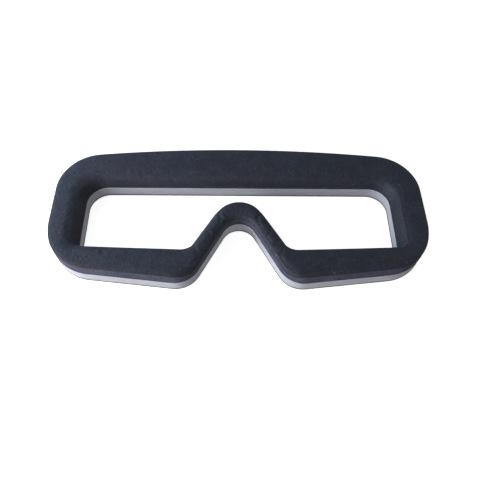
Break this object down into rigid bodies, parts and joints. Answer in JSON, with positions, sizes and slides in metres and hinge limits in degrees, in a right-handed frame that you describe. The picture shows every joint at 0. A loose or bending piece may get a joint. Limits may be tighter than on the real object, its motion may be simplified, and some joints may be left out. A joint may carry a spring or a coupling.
{
  "type": "goggle face pad",
  "caption": "Soft laminated foam face pad for video goggles: a wide ring with an eye window, a nose notch and a hook-and-loop back.",
  "frame": {"origin": "centre of the pad's box, on its back face", "axes": "+X across the face from temple to temple, +Y up the face towards the brow, +Z out of the back towards the skin that touches the face"},
  "size_m": [0.18, 0.0724, 0.0134],
  "materials": {
    "skin": "matt, fine grain",
    "soft_foam": "matt, open cells",
    "firm_foam": "matt, fine closed cells",
    "glue_line": "satin",
    "film": "satin",
    "loop_fabric": "matt, brushed loops"
  },
  "bodies": {
    "backing": {"loop_backing": "loop_fabric", "backing_adhesive": "film", "support_foam": "firm_foam", "foam_bond": "glue_line", "comfort_foam": "soft_foam"},
    "face": {"skin_adhesive": "glue_line", "face_skin": "skin"}
  },
  "joints": [
    {"name": "face_press", "type": "slide", "parent": "backing", "child": "face", "axis": [0, 0, 1], "range_m": [-0.003, 0], "stiffness_N_per_m": 4000, "deforming": ["comfort_foam"]}
  ]
}
